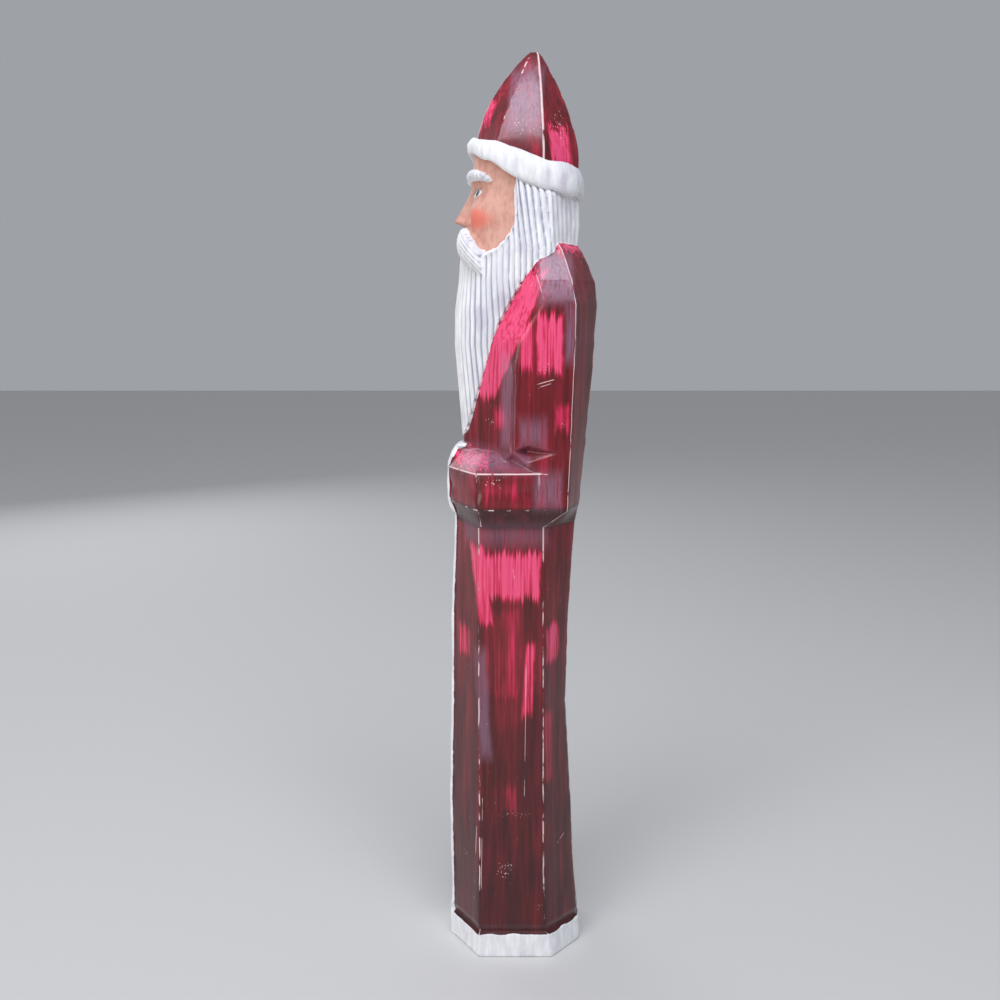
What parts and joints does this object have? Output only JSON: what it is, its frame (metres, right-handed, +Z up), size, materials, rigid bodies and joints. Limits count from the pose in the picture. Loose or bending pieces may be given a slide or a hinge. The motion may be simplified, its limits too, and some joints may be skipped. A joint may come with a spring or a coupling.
{
  "type": "santa figurine",
  "caption": "Tall slim carved wooden Santa in a long coat, hands in the sleeves, with a peaked hat, long grooved beard and fur bands; stands on its flat underside.",
  "frame": {"origin": "middle of the figure's bounding box at the underside it stands on", "axes": "+Z up, -Y to the front the figure faces, +X to the figure's left hand"},
  "size_m": [0.1018, 0.1014, 0.61],
  "materials": {
    "painted_wood": "hand painted in glossy dark red over crimson, with white fur and hair, worn at the edges"
  },
  "bodies": {
    "root": {"santa_figure": "painted_wood"}
  },
  "joints": []
}
